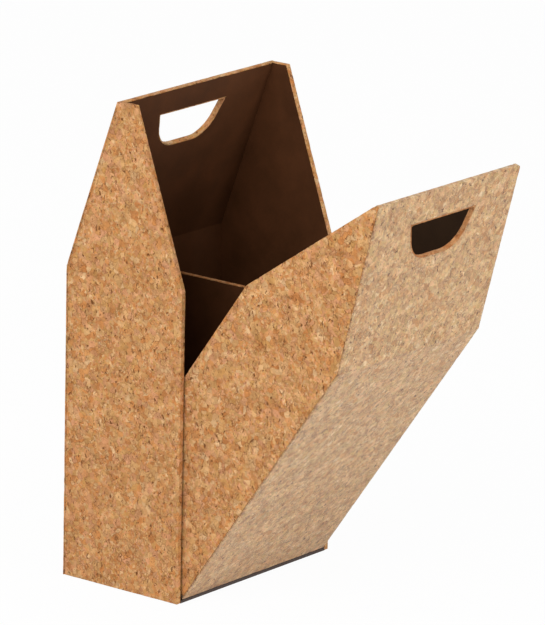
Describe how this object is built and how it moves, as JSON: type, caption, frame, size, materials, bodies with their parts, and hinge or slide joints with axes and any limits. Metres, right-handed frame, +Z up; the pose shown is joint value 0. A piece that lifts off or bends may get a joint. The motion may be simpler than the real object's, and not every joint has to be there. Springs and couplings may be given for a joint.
{
  "type": "bottle carrier box",
  "caption": "Cork-covered carrier box with bays for bottles, hand holes at the top and a front cover that swings forward about its bottom edge.",
  "frame": {"origin": "middle of the case's underside, on the table", "axes": "+Z up, -Y towards the side that opens, +X along the length"},
  "size_m": [0.19, 0.2964, 0.388],
  "materials": {
    "cork": "matte agglomerated cork sheet with dark flecks",
    "front_cork": "matte agglomerated cork sheet, a little paler",
    "cork_edge": "matte cork strip",
    "lining": "matte dark brown sheet",
    "covering": "satin dark brown sheet with a fine grain",
    "board": "matte rigid fibre board"
  },
  "bodies": {
    "case": {"back_cork": "cork", "back_hand_hole_strip": "cork_edge", "back_lining": "lining", "back_lower_board": "board", "back_top_strip": "cork_edge", "back_upper_board": "board", "bottom_board": "board", "bottom_covering": "covering", "case_left_edge_strip": "cork_edge", "case_left_gable_board": "board", "case_left_gable_cork": "cork", "case_left_gable_lining": "lining", "case_right_edge_strip": "cork_edge", "case_right_gable_board": "board", "case_right_gable_cork": "cork", "case_right_gable_lining": "lining", "divider_board": "board", "divider_lining": "lining", "divider_top_strip": "cork_edge", "floor_board": "board", "floor_lining": "lining", "hinge_ledge_leaf": "covering"},
    "cover": {"cover_left_edge_strip": "cork_edge", "cover_left_gable_board": "board", "cover_left_gable_cork": "cork", "cover_left_gable_lining": "lining", "cover_right_edge_strip": "cork_edge", "cover_right_gable_board": "board", "cover_right_gable_cork": "cork", "cover_right_gable_lining": "lining", "front_cork": "front_cork", "front_hand_hole_strip": "cork_edge", "front_lining": "lining", "front_lower_board": "board", "front_top_strip": "cork_edge", "front_upper_board": "board", "hinge_cover_leaf": "covering"}
  },
  "joints": [
    {"name": "cover_hinge", "type": "hinge", "parent": "case", "child": "cover", "pos_m": [0, -0.0575, 0.0023], "axis": [1, 0, 0], "range_deg": [-35, 55]}
  ]
}
